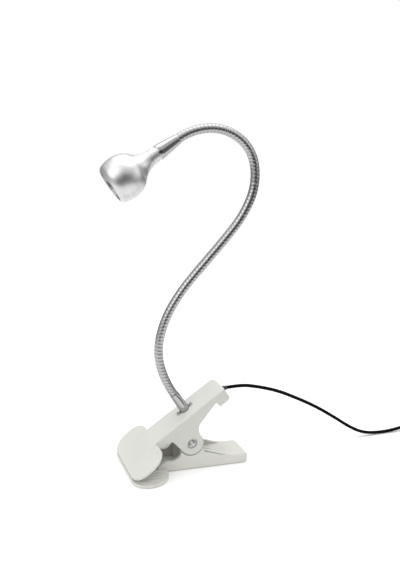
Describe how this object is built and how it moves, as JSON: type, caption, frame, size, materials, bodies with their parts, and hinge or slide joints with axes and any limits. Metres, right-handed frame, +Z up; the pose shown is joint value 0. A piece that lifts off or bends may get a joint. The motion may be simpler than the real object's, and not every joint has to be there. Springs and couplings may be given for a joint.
{
  "type": "clip-on reading lamp",
  "caption": "Clip-on reading lamp: sprung plastic clip with wide rounded jaws, bright gooseneck neck, small bell-shaped aluminium head, thin lead with switch and plug.",
  "frame": {"origin": "centre of the bottom of the box of the lamp at rest, without its lead: the lower lever lies on the surface", "axes": "+Z up, -X the way the jaw points, +X towards the finger grips, Y across the clip with Y=0 its mid-plane"},
  "size_m": [0.4008, 0.0741, 0.2666],
  "materials": {
    "clip_upper": "injection moulded, warm off-white, satin",
    "clip_lower": "injection moulded, warm off-white, satin",
    "pad_rubber": "soft grip pad, light grey",
    "pin_steel": "bright turned steel",
    "spring_steel": "spring wire",
    "black_plastic": "black",
    "cable_black": "black PVC lead, satin",
    "tie": "black wrap",
    "rocker": "black rocker",
    "plug_metal": "nickel plated shell",
    "plug_white": "contact carrier",
    "chrome": "polished",
    "inner_steel": "zinc plated",
    "neck_steel": "bright wound steel",
    "head_aluminium": "satin, fine turned lines",
    "heat_sink_aluminium": "machined",
    "lens_clear": "clear moulded lens",
    "ring_black": "black",
    "reflector_chrome": "metallised",
    "board_green": "white solder mask",
    "emitter_yellow": "phosphor"
  },
  "bodies": {
    "lower_lever": {"lower_lever": "clip_lower", "lower_jaw_pad": "pad_rubber", "pivot_pin": "pin_steel", "pin_cap": "pin_steel", "torsion_spring": "spring_steel", "lead_run": "cable_black", "switch_base": "black_plastic", "switch_cover": "black_plastic", "switch_relief_in": "black_plastic", "switch_relief_out": "black_plastic", "lead_link": "cable_black", "lead_coil": "cable_black", "coil_tie": "tie", "lead_tail": "cable_black", "plug_mould": "black_plastic", "plug_shell": "plug_metal", "plug_tongue": "plug_white"},
    "upper_lever": {"upper_lever": "clip_upper", "upper_jaw_pad": "pad_rubber", "cable_gland": "black_plastic", "base_washer": "chrome", "base_sleeve": "chrome", "neck_clamp_plate": "inner_steel", "base_nut": "inner_steel", "neck_stud": "inner_steel", "neck_screw_front": "chrome", "neck_screw_rear": "chrome", "neck_link_01": "neck_steel"},
    "neck_02": {"neck_link_02": "neck_steel"},
    "neck_03": {"neck_link_03": "neck_steel"},
    "neck_04": {"neck_link_04": "neck_steel"},
    "neck_05": {"neck_link_05": "neck_steel"},
    "neck_06": {"neck_link_06": "neck_steel"},
    "neck_07": {"neck_link_07": "neck_steel"},
    "neck_08": {"neck_link_08": "neck_steel"},
    "neck_09": {"neck_link_09": "neck_steel"},
    "neck_10": {"neck_link_10": "neck_steel"},
    "head": {"neck_link_11": "neck_steel", "head_sleeve": "chrome", "head_shell": "head_aluminium", "lens": "lens_clear", "lens_ring": "ring_black", "reflector": "reflector_chrome", "led_board": "board_green", "led_emitter": "emitter_yellow", "heat_sink": "heat_sink_aluminium", "head_stud": "inner_steel", "board_screw_a": "inner_steel", "board_screw_b": "inner_steel"},
    "switch_rocker": {"switch_rocker": "rocker"}
  },
  "joints": [
    {"name": "jaw_hinge", "type": "hinge", "parent": "lower_lever", "child": "upper_lever", "pos_m": [0.0135, 0, 0.022], "axis": [0, 1, 0], "range_deg": [0, 38], "stiffness_Nm_per_rad": 0.35, "springref_deg": -68.75, "deforming": ["torsion_spring", "lead_run"]},
    {"name": "neck_bend_02", "type": "hinge", "parent": "upper_lever", "child": "neck_02", "pos_m": [-0.01138, 0.00113, 0.08192], "axis": [-0.0523, -0.9986, 0], "range_deg": [-14, 30]},
    {"name": "neck_side_03", "type": "hinge", "parent": "neck_02", "child": "neck_03", "pos_m": [-0.01324, 0.00122, 0.10666], "axis": [-0.9844, 0.0516, 0.1685], "range_deg": [-20, 20]},
    {"name": "neck_bend_04", "type": "hinge", "parent": "neck_03", "child": "neck_04", "pos_m": [-0.00525, 0.0008, 0.13029], "axis": [-0.0523, -0.9986, 0], "range_deg": [-18, 24]},
    {"name": "neck_bend_05", "type": "hinge", "parent": "neck_04", "child": "neck_05", "pos_m": [0.00834, 0.00009, 0.15128], "axis": [-0.0523, -0.9986, 0], "range_deg": [-20, 20]},
    {"name": "neck_side_06", "type": "hinge", "parent": "neck_05", "child": "neck_06", "pos_m": [0.02398, -0.00073, 0.17083], "axis": [-0.7739, 0.0406, 0.632], "range_deg": [-20, 20]},
    {"name": "neck_bend_07", "type": "hinge", "parent": "neck_06", "child": "neck_07", "pos_m": [0.03936, -0.00153, 0.19058], "axis": [0.0523, 0.9986, 0], "range_deg": [-20, 22]},
    {"name": "neck_bend_08", "type": "hinge", "parent": "neck_07", "child": "neck_08", "pos_m": [0.05104, -0.00215, 0.21262], "axis": [0.0523, 0.9986, 0], "range_deg": [-12, 32]},
    {"name": "neck_side_09", "type": "hinge", "parent": "neck_08", "child": "neck_09", "pos_m": [0.05264, -0.00223, 0.23731], "axis": [-0.9775, 0.0512, -0.2045], "range_deg": [-20, 20]},
    {"name": "neck_bend_10", "type": "hinge", "parent": "neck_09", "child": "neck_10", "pos_m": [0.03882, -0.00151, 0.25741], "axis": [0.0523, 0.9986, 0], "range_deg": [-4, 40]},
    {"name": "neck_bend_11", "type": "hinge", "parent": "neck_10", "child": "head", "pos_m": [0.01496, -0.00026, 0.26323], "axis": [0.0523, 0.9986, 0], "range_deg": [-8, 38]},
    {"name": "rocker", "type": "hinge", "parent": "lower_lever", "child": "switch_rocker", "pos_m": [0.262, 0.01, 0.008], "axis": [0, 1, 0], "range_deg": [0, 12]}
  ]
}
